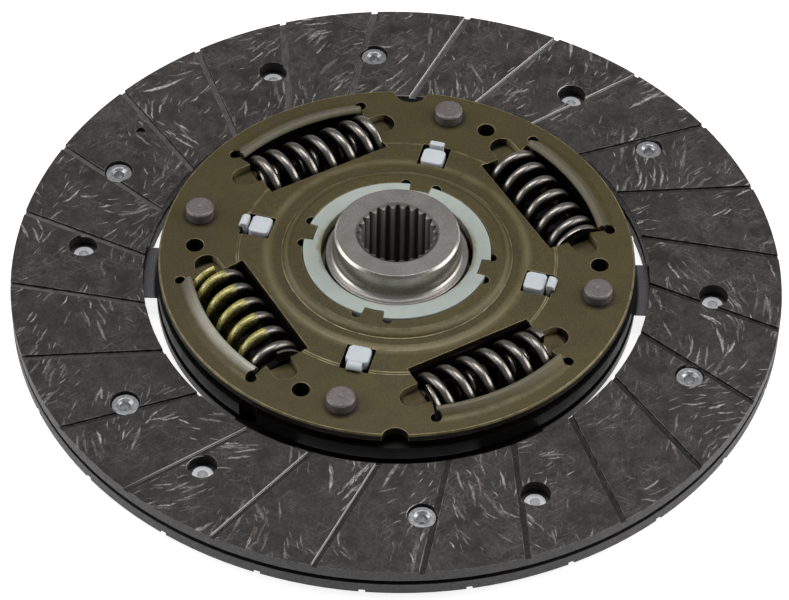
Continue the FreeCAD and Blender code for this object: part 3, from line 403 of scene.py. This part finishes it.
def lining_material(name):
    """Dark friction composite with pale fibres, painted light and shade in the grooves and a greyer
    rim.
    """
    graph = Graph(name)
    height = graph.height()
    radius = graph.radius()
    patch = graph.noise(4.5, 5, 0.62, seed=2)
    fine = graph.noise(0.8, 5, 0.7, seed=3)
    base = lining_compound(graph, patch, fine)

    # fibres, frayed and broken
    wavering = graph.warp(5.0, 1.0, 14)
    streaks = 0.0
    for layer in FIBRE_LAYERS:
        streaks = graph.math("MAXIMUM", streaks, fibres(graph, wavering, **layer))
    frayed = graph.step(graph.noise(0.55, 3, 0.7, seed=4), 0.32, 0.6, 0.2, 1.0)
    patchy = graph.step(graph.noise(2.2, 2, 0.6, seed=19), 0.35, 0.6, 0.45, 1.0)
    pale = graph.stain(
        colour(206, 203, 198), colour(136, 120, 108), graph.noise(9, 1, seed=5), 0.55, 0.68
    )
    face = graph.mix(graph.times(streaks, frayed, patchy, 0.9), base, pale)
    depth = graph.math("ABSOLUTE", height)
    sunk = graph.step(depth, GROOVE_FLOOR + 0.05, GROOVE_FLOOR + 0.23, 1.0, 0.0)
    face = graph.mix(sunk, face, groove_floor(graph, base))

    # dark groove walls, with a painted highlight line along the top of some, and the grey rim
    facing = graph.along(graph.normal, LIT_GROOVE_WALLS)
    sector = graph.math("ABSOLUTE", graph.along(graph.place, LIT_GROOVES))
    sector = graph.math("DIVIDE", sector, radius)
    upper = graph.step(height, GROOVE_FLOOR + 0.38, GROOVE_FLOOR + 0.48)
    # painted highlight: a near white line along the top of the walls that face one way, in grooves
    # that run near one direction
    line = graph.times(graph.step(facing, 0.86, 0.93), upper, graph.step(sector, 0.91, 0.94))
    wall = graph.mix(line, colour(30, 27, 25), colour(250, 249, 247))
    rim = graph.stain(
        colour(70, 68, 69), colour(96, 94, 95), graph.noise(0.5, 3, 0.7, seed=6), 0.35, 0.65
    )
    side = graph.mix(graph.step(radius, LINING_RADIUS - 0.7, LINING_RADIUS - 0.3), wall, rim)
    surface = graph.mix(graph.step(graph.flatness(), 0.75, 0.95), side, face)

    # rounded edges, worn in places, with painted highlights on them beside those lines
    edge = graph.worn_edge()
    worn = graph.times(edge, graph.step(graph.noise(2, 3, 0.7, seed=15), 0.4, 0.65, 0.05, 0.6))
    surface = graph.mix(worn, surface, colour(140, 138, 136))
    inside = graph.step(radius, LINING_RADIUS - 1.0, LINING_RADIUS - 0.6, 1.0, 0.0)
    edge_highlight = graph.times(edge, graph.step(facing, 0.3, 0.6))
    edge_highlight = graph.times(edge_highlight, graph.step(sector, 0.91, 0.94, 0.0, 0.8), inside)
    graph.set(Base_Color=graph.mix(edge_highlight, surface, colour(236, 234, 230)))

    graph.set(Roughness=graph.step(fine, 0.3, 0.7, 0.42, 0.7), Specular_IOR_Level=0.35)
    relief = graph.math("ADD", fine, graph.times(streaks, 0.5))
    graph.bump(graph.math("ADD", graph.times(patch, 0.5), relief), 0.14, 0.7)
    return graph.material


# inner and outer radius, blur, amount and tone of the highlights and shade painted along the
# cover's pressed steps
COVER_STEP_SHADING = (
    (37.4, 39.4, 1.2, 0.6, colour(128, 118, 86)),  # painted highlight on the middle step
    (34.8, 36.2, 0.8, 0.3, colour(52, 46, 26)),  # painted shade in the hollow inside it
    (46.6, 46.9, 0.2, 0.3, colour(128, 118, 84)),  # painted highlight on the outer step's crest
    (47.1, 47.6, 0.25, 0.5, colour(40, 35, 21)),  # painted shade at the outer step's foot
    (33.9, 34.5, 0.3, 0.7, colour(40, 35, 21)),  # painted shade at the foot of the step to the bore's rim
    (32.2, 33.2, 0.4, 0.4, colour(134, 123, 90)),  # painted highlight on the crest of that step
)


def cover_material(name):
    """Olive phosphated sheet, stained, with brighter worn edges, painted light and shade on its
    steps, walls and lips, and painted shadows round the pins.
    """
    graph = Graph(name)
    broad = graph.noise(22, 3, seed=11)
    stain = graph.noise(6, 6, 0.65, seed=12)
    grain = graph.noise(0.5, 4, 0.75, seed=13)
    radius = graph.radius()
    base = graph.mix(graph.step(broad, 0.35, 0.65), colour(72, 63, 29), colour(82, 72, 36))
    base = graph.stain(base, colour(58, 50, 27), stain, 0.4, 0.66, 0.65)
    base = graph.stain(base, colour(112, 101, 70), grain, 0.42, 0.72, 0.5)
    base = graph.stain(base, colour(46, 39, 22), grain, 0.52, 0.3, 0.4)
    for low, high, blur, amount, tone in COVER_STEP_SHADING:
        band = graph.times(graph.within(radius, low, high, blur), amount)
        base = graph.mix(graph.times(band, graph.step(stain, 0.3, 0.55, 0.5, 1.0)), base, tone)

    # painted shade to one side, painted shadows round the pins, walls painted dark as shade but lit
    # round the window ends, and worn edges
    # painted shade: the cover darkens towards the front left
    shade = graph.along(graph.place, COVER_SHADE)
    base = graph.stain(base, colour(44, 37, 20), shade, 15, 65, 0.2)
    # painted shadow round the foot of each stop pin
    pin_shadow = graph.step(graph.from_pins(), PIN_RADIUS + 0.4, PIN_RADIUS + 2.0, 0.8, 0.0)
    pin_shadow = graph.times(pin_shadow, graph.step(stain, 0.3, 0.6, 0.5, 1.0))
    base = graph.mix(pin_shadow, base, colour(38, 33, 24))
    # painted shade: the cover's walls are near black, with painted light on the walls round the
    # window ends
    wall = graph.step(graph.flatness(), 0.2, 0.4, 1.0, 0.0)
    wall_light_and_shade = graph.mix(graph.lobes(), colour(34, 31, 27), colour(150, 139, 106))
    base = graph.mix(wall, base, wall_light_and_shade)
    worn = graph.step(graph.noise(3, 3, seed=14), 0.35, 0.65, 0.2, 0.7)
    base = graph.mix(graph.times(graph.worn_edge(), worn), base, colour(160, 147, 108))

    # a painted highlight on the lips' tops, the most on one side, with a dull free edge
    raised = graph.step(graph.height(), COVER_TOP + 0.08, COVER_TOP + 0.98)
    lip = graph.times(graph.step(radius, LIP_BAND[0] - 1, LIP_BAND[0]), raised)
    crown = graph.step(radius, LIP_EDGE_RADIUS, LIP_ROOT_RADIUS - 0.3, 1.0, 0.0)
    lip_highlight = graph.times(lip, crown)
    lip_highlight = graph.times(lip_highlight, graph.step(graph.flatness(), 0.45, 0.75))
    side = graph.along(graph.place, LIP_HIGHLIGHT_SIDE)
    lip_highlight = graph.times(lip_highlight, graph.step(side, 42, 61, 0.12, 0.75))
    lip_highlight = graph.times(lip_highlight, graph.step(stain, 0.3, 0.6, 0.7, 1.0))
    free_edge = graph.step(radius, LIP_EDGE_RADIUS + 0.4, LIP_EDGE_RADIUS + 0.9, 1.0, 0.0)
    gloss = graph.math("SUBTRACT", lip_highlight, graph.times(lip, free_edge))
    rough = graph.step(stain, 0.3, 0.7, 0.34, 0.5)
    graph.set(
        Base_Color=graph.mix(lip_highlight, base, colour(200, 197, 188)),
        Metallic=graph.math("MULTIPLY_ADD", gloss, 0.5, 0.3),
        Roughness=graph.math("MULTIPLY_ADD", gloss, -0.12, rough),
    )
    graph.bump(graph.math("ADD", grain, graph.times(stain, 0.8)), 0.05, 0.5)
    return graph.material


def flange_material(name):
    """Steel painted near black as shade, olive where its land shows in the ends of the windows."""
    graph = Graph(name)
    stain = graph.noise(4, 5, 0.6, seed=21)
    grain = graph.noise(0.5, 4, 0.75, seed=22)
    olive = graph.mix(graph.step(stain, 0.35, 0.65), colour(100, 89, 60), colour(78, 68, 45))
    olive = graph.stain(olive, colour(70, 61, 38), grain, 0.5, 0.28, 0.4)
    land = graph.step(graph.height(), FLANGE_LAND_TOP - 0.77, FLANGE_LAND_TOP - 0.27)
    shown = graph.times(graph.step(graph.rise(), 0.4, 0.7), land, graph.lobes())
    # painted shade: all but the land in the window ends is near black
    graph.set(
        Base_Color=graph.mix(shown, colour(11, 9, 7), olive),
        Metallic=graph.times(shown, 0.3),
        Roughness=graph.step(stain, 0.3, 0.7, 0.34, 0.5),
        Specular_IOR_Level=0.25,
    )
    graph.bump(grain, 0.03, 0.5)
    return graph.material


def steel_graph(name, *, dark, light, metallic, roughness, grain_size, relief, seed):
    """Bare or oiled steel with a grain, for more to be laid on it."""
    graph = Graph(name)
    grain = graph.noise(grain_size, 4, 0.7, seed=seed)
    cloud = graph.noise(6, 3, seed=seed + 1)
    base = graph.mix(graph.step(grain, 0.3, 0.7), dark, light)
    graph.set(
        Base_Color=graph.stain(base, dark, cloud, 0.45, 0.7, 0.3),
        Metallic=metallic,
        Roughness=graph.step(grain, 0.3, 0.7, roughness + 0.06, roughness - 0.06),
    )
    graph.bump(grain, relief, 0.5)
    return graph


def steel_material(name, **look):
    return steel_graph(name, **look).material


def spring_material(name, azimuth=None, painted=False):
    """Wire painted black as shade low down and on its inner flanks, one spring with speckled yellow
    paint.
    """
    metallic = 0.9
    graph = steel_graph(
        name,
        dark=colour(128, 123, 117),
        light=colour(176, 170, 163),
        metallic=metallic,
        roughness=0.3,
        grain_size=0.35,
        relief=0.006,
        seed=31,
    )
    height = graph.height()
    # painted shade: the wire darkens to near black below the damper's middle
    lit_share = graph.step(height, 4.0, 10.5, 0.04, 1.0)

    # painted shade: the side of the wire that faces the coil's own axis goes dark, and only the
    # side that looks away from it stays lit
    if azimuth is not None:
        outward = graph.math("SUBTRACT", graph.along(graph.place, azimuth), SPRING_CIRCLE)
        upward = graph.math("SUBTRACT", height, DAMPER_MIDDLE)
        leaning = graph.times(graph.along(graph.normal, azimuth), outward)
        rising = graph.times(graph.rise(), upward)
        facing = graph.math("ADD", leaning, rising)
        facing = graph.math("DIVIDE", facing, graph.hypot(outward, upward))
        lit_share = graph.times(lit_share, graph.step(facing, 0.6, 1.0, 0.04, 1.0))
    wire = graph.mix(lit_share, colour(14, 13, 12), graph.colour_so_far())

    # paint on the outer half, up to a wandering line, short of the last turns at one end
    if painted:
        across = graph.along(graph.place, azimuth)
        along = graph.along(graph.place, azimuth + 90)
        line = graph.math("MULTIPLY_ADD", graph.noise(3, 2, seed=33), 5.0, across)
        zone = graph.times(graph.step(line, 50.5, 52.5), graph.step(along, 11.5, 13.5, 1.0, 0.0))
        speckle = graph.step(graph.noise(0.42, 2, 0.6, seed=34), 0.44, 0.52)
        paint = graph.times(zone, graph.math("MULTIPLY_ADD", speckle, 0.8, 0.2))
        # the paint takes part of the wire's painted shade
        paint = graph.times(paint, graph.math("MULTIPLY_ADD", lit_share, 0.8, 0.2))
        tone = graph.mix(graph.noise(1.2, 2, seed=35), colour(150, 141, 34), colour(216, 205, 96))
        wire = graph.mix(paint, wire, tone)
        graph.set(Metallic=graph.math("MULTIPLY_ADD", paint, -0.85, metallic))
    graph.set(Base_Color=wire)
    return graph.material


def hub_material(name):
    """Satin machined steel, turned on its faces, cleaner on its sides, with painted light and shade
    in its bore.
    """
    graph = Graph(name)
    radius = graph.radius()
    flatness = graph.flatness()
    grain = graph.noise(0.32, 4, 0.75, seed=41)
    turning = graph.noise(0.18, 2, 0.6, graph.joined(radius), seed=42)
    cloud = graph.noise(7, 3, seed=43)
    base = graph.mix(graph.step(grain, 0.3, 0.7), colour(130, 126, 123), colour(172, 168, 164))
    base = graph.stain(base, colour(116, 108, 100), cloud, 0.4, 0.7, 0.35)

    # sides outside the collar's chamfer, then the spline teeth and the countersink above them
    sides = graph.times(graph.step(flatness, 0.8, 0.95, 1.0, 0.0), graph.step(radius, 14.0, 15.0))
    clean = graph.stain(colour(196, 192, 187), colour(178, 172, 163), cloud, 0.35, 0.65)
    base = graph.mix(sides, base, clean)
    # painted light on the teeth's tips, brighter than the hub's steel, and painted shade at their
    # roots
    teeth = graph.stain(
        colour(214, 209, 202), colour(112, 107, 99), radius, SPLINE_MINOR + 0.2, SPLINE_MAJOR - 0.25
    )
    bore = graph.step(radius, SPLINE_MAJOR + 0.15, SPLINE_MAJOR + 0.35, 1.0, 0.0)
    base = graph.mix(bore, base, teeth)
    # painted shade on the countersink
    mouth = graph.within(radius, SPLINE_MINOR - 0.55, HUB_MOUTH_RADIUS + 0.1, 0.05)
    mouth = graph.times(mouth, graph.within(flatness, 0.2, 0.9, 0.08))
    base = graph.mix(mouth, base, colour(98, 94, 90))

    # duller on the step at the foot
    rough = graph.math("MULTIPLY_ADD", sides, -0.07, graph.step(grain, 0.3, 0.7, 0.42, 0.3))
    foot = graph.times(sides, graph.step(radius, HUB_RADIUS + 0.1, HUB_RADIUS + 0.9, 0.0, 0.1))
    graph.set(
        Base_Color=base,
        Metallic=graph.math("MULTIPLY_ADD", sides, 0.25, 0.7),
        Roughness=graph.math("ADD", foot, rough),
    )
    relief = graph.math("ADD", grain, graph.times(turning, 0.7))
    graph.bump(graph.times(relief, graph.math("MULTIPLY_ADD", sides, -0.8, 1.0)), 0.02, 0.5)
    return graph.material


def plastic_graph(name, light, scatter):
    """Moulded plastic, a little cloudy, for dirt to be laid on it."""
    graph = Graph(name)
    cloud = graph.noise(5, 4, 0.6, seed=51)
    deep = tuple(channel * 0.86 for channel in light)
    graph.set(
        Base_Color=graph.stain(light, deep, cloud, 0.35, 0.7, 0.5),
        Roughness=0.42,
        Subsurface_Weight=scatter,
        Subsurface_Scale=0.6 * MM,
    )
    graph.bump(graph.noise(1.2, 4, 0.6, seed=53), 0.02, 0.4)
    return graph


def shade_below_cover(graph, base, height, level):
    """A base painted black as shade where it lies below a level under the cover."""
    return graph.mix(graph.step(height, level - 0.5, level, 1.0, 0.0), base, colour(24, 22, 19))


def ring_material(name):
    """Greenish white plastic, oily round the hub and at its outer edge, painted black as shade
    under the cover.
    """
    graph = plastic_graph(name, colour(174, 183, 176), 0.25)
    radius = graph.radius()
    oil = colour(116, 100, 52)
    reach = graph.math("MULTIPLY_ADD", graph.noise(2.5, 4, 0.65, seed=52), 2.6, radius)
    sideways = graph.math("ABSOLUTE", graph.along(graph.place, 0))
    reach = graph.math("SUBTRACT", reach, graph.step(sideways, 19.5, 22.5, 0.0, 0.7))
    base = graph.mix(graph.step(reach, 23.0, 24.6, 0.75, 0.0), graph.colour_so_far(), oil)
    base = graph.stain(base, oil, radius, RING_RADIUS - 0.7, RING_RADIUS - 0.1, 0.35)
    collar = graph.step(radius, RING_RADIUS - 0.8, RING_RADIUS - 0.3, 2.0, 0.0)
    graph.set(Base_Color=shade_below_cover(graph, base, graph.math("ADD", graph.height(), collar), 12.6))
    return graph.material


def clip_material(name):
    """White plastic where the clips stand up through the cover, painted black as shade below it."""
    graph = plastic_graph(name, colour(204, 210, 215), 0.2)
    graph.set(Base_Color=shade_below_cover(graph, graph.colour_so_far(), graph.height(), 9.4))
    return graph.material


def sheet_material(name):
    """Spring sheet, bright on the cushion plate's arms and painted near black as shade on its ring
    round the damper.
    """
    graph = steel_graph(
        name,
        dark=colour(92, 91, 95),
        light=colour(122, 120, 124),
        metallic=0.6,
        roughness=0.4,
        grain_size=0.5,
        relief=0.01,
        seed=61,
    )
    # painted shade: near black inside the cushion ring's edge
    outside = graph.step(graph.radius(), CUSHION_RING_RADIUS + 0.2, CUSHION_RING_RADIUS + 1.2)
    graph.set(Base_Color=graph.mix(outside, colour(16, 15, 14), graph.colour_so_far()))
    return graph.material


# dressed copies of CAD nodes

def creased(edge):
    """Whether an edge between a flat face and a gentle slope is one that the eye picks out."""
    slopes = sorted(abs(face.normal.z) for face in edge.link_faces)
    return slopes[1] > 0.9995 and slopes[0] < 0.997


def on_lip(edge):
    """Whether an edge is the root or the free edge of a lip."""
    middle = (edge.verts[0].co + edge.verts[1].co) / 2
    azimuth = math.degrees(math.atan2(middle.y, middle.x))
    if abs((azimuth - WINDOW_ANGLE + 45) % 90 - 45) > LIP_HALF_ANGLE:
        return False
    return any(
        all(
            abs(end.co.xy.length / MM - radius) < 0.06 and abs(end.co.z / MM - height) < 0.06
            for end in edge.verts
        )
        for radius, height in (
            (LIP_ROOT_RADIUS, COVER_TOP),
            (LIP_EDGE_RADIUS, COVER_TOP + LIP_RISE),
        )
    )


def mark_edges(work, width, inner_radius, lip_width):
    """Weights for the edges to be rounded, and sharp marks on other edges that show."""
    weight = work.edges.layers.float.new("bevel_weight_edge")
    for edge in work.edges:
        if len(edge.link_faces) != 2:
            continue
        folded = edge.calc_face_angle() > math.radians(FOLD_ANGLE)
        if lip_width and on_lip(edge):
            edge[weight] = 1.0
        elif folded and min(end.co.xy.length for end in edge.verts) > inner_radius * MM:
            edge[weight] = width / max(width, lip_width)
        elif folded or creased(edge):
            edge.smooth = False


def round_edges(piece, width, segments):
    """The piece's mesh with its weighted edges rounded, their faces in the second material."""
    rounded = piece.modifiers.new("rounded", "BEVEL")
    rounded.limit_method = "WEIGHT"
    rounded.width = width * MM
    rounded.segments = segments
    rounded.use_clamp_overlap = False
    rounded.material = 1
    steady = piece.modifiers.new("steady", "WEIGHTED_NORMAL")
    steady.keep_sharp = True
    depsgraph = bpy.context.evaluated_depsgraph_get()
    finished = bpy.data.meshes.new_from_object(piece.evaluated_get(depsgraph))
    piece.modifiers.clear()
    piece.data = finished
    return finished


def dress(node, width, segments=2, inner_radius=0.0, lip_width=0.0):
    """A node's copy with its edges rounded outside a radius, on its body and in its slot."""
    material = MATERIALS[SLOTS[node]]
    mesh = frame["nodes"][node].data.copy()
    mesh.name = node + "_dressed"
    mesh.materials.append(material)
    work = bmesh.new()
    work.from_mesh(mesh)
    bmesh.ops.remove_doubles(work, verts=work.verts, dist=0.002 * MM)
    bmesh.ops.dissolve_limit(
        work,
        angle_limit=math.radians(FLAT_ANGLE),
        verts=work.verts,
        edges=work.edges,
        delimit={"NORMAL"},
    )
    for face in work.faces:
        face.smooth = True
    mark_edges(work, width, inner_radius, lip_width)
    work.to_mesh(mesh)
    work.free()
    piece = bpy.data.objects.new(node + "_dressed", mesh)
    bpy.context.scene.collection.objects.link(piece)
    finished = round_edges(piece, max(width, lip_width), segments)
    worn = finished.attributes.new("worn_edge", "FLOAT", "FACE")
    for face in finished.polygons:
        radius = face.center.xy.length / MM
        raised = face.center.z / MM > COVER_TOP + 0.01
        lip = lip_width and LIP_BAND[0] < radius < LIP_BAND[1] and raised
        worn.data[face.index].value = float(face.material_index == 1 and not lip)
        face.material_index = 0
    finished.materials.clear()
    finished.materials.append(material)
    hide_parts(node)
    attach(piece, BODIES[node])


# floor, world and lamps

def make_floor():
    """A floor that keeps the shadow, white to the camera outside the damper and painted dark as
    shade below it.
    """
    low = cad_bounds[0].z
    signs = ((-1, -1), (1, -1), (1, 1), (-1, 1))
    corners = [(x * FLOOR_HALF, y * FLOOR_HALF, low) for x, y in signs]
    mesh = bpy.data.meshes.new("floor")
    mesh.from_pydata(corners, [], [(0, 1, 2, 3)])
    floor = bpy.data.objects.new("floor", mesh)
    bpy.context.scene.collection.objects.link(floor)
    graph = Graph("floor")
    radius = graph.radius()
    diffuse = graph.add("ShaderNodeBsdfDiffuse")
    outside = graph.step(radius, FLOOR_SHADE_RADIUS, FLOOR_WHITE_RADIUS)
    # painted shade: the floor is nearly black under the damper
    graph.link(graph.mix(outside, (0.08, 0.08, 0.08), (0.6, 0.6, 0.6)), diffuse.inputs["Color"])
    glow = graph.add("ShaderNodeEmission")
    path = graph.add("ShaderNodeLightPath")
    seen = graph.math("MAXIMUM", path.outputs["Is Camera Ray"], path.outputs["Is Glossy Ray"])
    white = graph.step(radius, FLOOR_WHITE_RADIUS - 1.0, FLOOR_WHITE_RADIUS, 0.0, 0.85)
    strength = graph.times(seen, white)
    graph.link(strength, glow.inputs["Strength"])
    both = graph.add("ShaderNodeAddShader")
    graph.link(diffuse.outputs[0], both.inputs[0])
    graph.link(glow.outputs[0], both.inputs[1])
    graph.link(both.outputs[0], graph.tree.nodes["Material Output"].inputs["Surface"])
    graph.tree.nodes.remove(graph.shader)
    mesh.materials.append(graph.material)


def make_world():
    """A white world to the camera and a soft grey light to the disc."""
    world = bpy.data.worlds.new("world")
    bpy.context.scene.world = world
    world.use_nodes = True
    nodes = world.node_tree.nodes
    links = world.node_tree.links
    nodes.clear()
    output = nodes.new("ShaderNodeOutputWorld")
    path = nodes.new("ShaderNodeLightPath")
    mix = nodes.new("ShaderNodeMixShader")
    links.new(path.outputs["Is Camera Ray"], mix.inputs["Fac"])
    for socket, grey, strength in ((1, 0.5, 0.3), (2, 1.0, 1.0)):
        background = nodes.new("ShaderNodeBackground")
        background.inputs["Color"].default_value = (grey, grey, grey, 1)
        background.inputs["Strength"].default_value = strength
        links.new(background.outputs[0], mix.inputs[socket])
    links.new(mix.outputs[0], output.inputs["Surface"])


def area_lamp(name, place, size, power):
    """A soft box that looks at the disc's middle."""
    data = bpy.data.lights.new(name, "AREA")
    data.shape = "RECTANGLE"
    data.size, data.size_y = size
    data.energy = power
    lamp = bpy.data.objects.new(name, data)
    bpy.context.scene.collection.objects.link(lamp)
    lamp.location = place
    lamp.rotation_mode = "QUATERNION"
    lamp.rotation_quaternion = (-Vector(place)).to_track_quat("-Z", "Y")


# the scene

make_camera()

MATERIALS = {
    "lining": lining_material("lining"),
    "spring_sheet": sheet_material("spring_sheet"),
    "rivet": steel_material(
        "rivet",
        dark=colour(126, 128, 130),
        light=colour(206, 208, 210),
        metallic=0.6,
        roughness=0.3,
        grain_size=0.8,
        relief=0.06,
        seed=71,
    ),
    "cover": cover_material("cover"),
    "pin": steel_material(
        "pin",
        dark=colour(98, 92, 90),
        light=colour(134, 128, 126),
        metallic=0.5,
        roughness=0.46,
        grain_size=0.4,
        relief=0.03,
        seed=81,
    ),
    "flange": flange_material("flange"),
    "hub": hub_material("hub"),
    "ring_plastic": ring_material("ring_plastic"),
    "clip_plastic": clip_material("clip_plastic"),
    "spring_steel": spring_material("spring_steel"),
}
PIECE_MATERIALS = {
    # painted light: the rear rivets' tails are made nearly white, brighter than their steel, so
    # that they look lit down in their wells
    "rear_lining_rivets": steel_material(
        "rear_rivet_lit",
        dark=colour(214, 216, 218),
        light=colour(248, 249, 250),
        metallic=0.35,
        roughness=0.36,
        grain_size=0.8,
        relief=0.05,
        seed=91,
    ),
    "damper_spring_1": spring_material("wire_1", WINDOW_ANGLE),
    "damper_spring_2": spring_material("wire_2", WINDOW_ANGLE + 90),
    "damper_spring_3": spring_material("wire_3", WINDOW_ANGLE + 180, painted=True),
    "damper_spring_4": spring_material("wire_4", WINDOW_ANGLE + 270),
}
for node, thing in frame["nodes"].items():
    thing.data.materials.clear()
    thing.data.materials.append(PIECE_MATERIALS.get(node, MATERIALS[SLOTS[node]]))

# rounding widths in millimetres
dress("front_cover_plate", 0.18, segments=3, lip_width=1.3)
dress("front_lining", 0.16)
dress("hub", 0.2, inner_radius=13.0)
dress("front_friction_ring", 0.22)
dress("clip_cage", 0.45, segments=3)
dress("front_lining_rivets", 0.15)
for number in range(1, 5):
    dress(f"stop_pin_{number}", 0.2)

make_floor()
make_world()
area_lamp("left_box", (-1.0, 0.05, 0.5), (0.9, 0.8), 6.2)
area_lamp("right_box", (1.0, 0.05, 0.5), (0.9, 0.8), 7)
area_lamp("top_box", (0, 0.35, 1.4), (1.4, 0.7), 11)
bpy.context.scene.view_settings.view_transform = "Standard"
